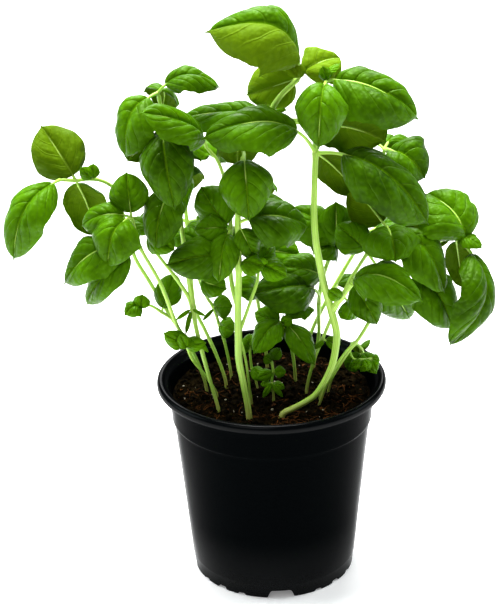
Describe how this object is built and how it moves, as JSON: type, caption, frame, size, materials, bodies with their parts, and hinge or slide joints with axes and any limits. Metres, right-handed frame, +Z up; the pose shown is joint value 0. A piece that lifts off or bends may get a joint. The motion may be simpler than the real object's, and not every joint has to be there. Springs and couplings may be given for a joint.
{
  "type": "potted basil plant",
  "caption": "Leafy basil plant, its shoots rising from dark potting soil in a round tapered black plastic nursery pot with a rolled rim and a notched foot.",
  "frame": {"origin": "centre of the underside of the pot, on the plane that the pot stands on", "axes": "+Z up along the pot's axis, -Y towards the plant's best side, +X to the right as seen from there"},
  "size_m": [0.2654, 0.1454, 0.3325],
  "materials": {
    "black_plastic": "satin",
    "potting_soil": "matte",
    "basil_green": "satin"
  },
  "bodies": {
    "root": {"pot": "black_plastic", "soil": "potting_soil", "shoot_tall_right": "basil_green", "shoot_centre": "basil_green", "shoot_tall_left": "basil_green", "shoot_left": "basil_green", "shoot_far_left": "basil_green", "shoot_mid_left": "basil_green", "shoot_back_left": "basil_green", "shoot_low_centre": "basil_green", "shoot_right": "basil_green", "shoot_far_right": "basil_green", "shoot_back_right": "basil_green", "shoot_rear": "basil_green", "shoot_rear_right": "basil_green", "seedling_front": "basil_green", "seedling_left": "basil_green"}
  },
  "joints": []
}
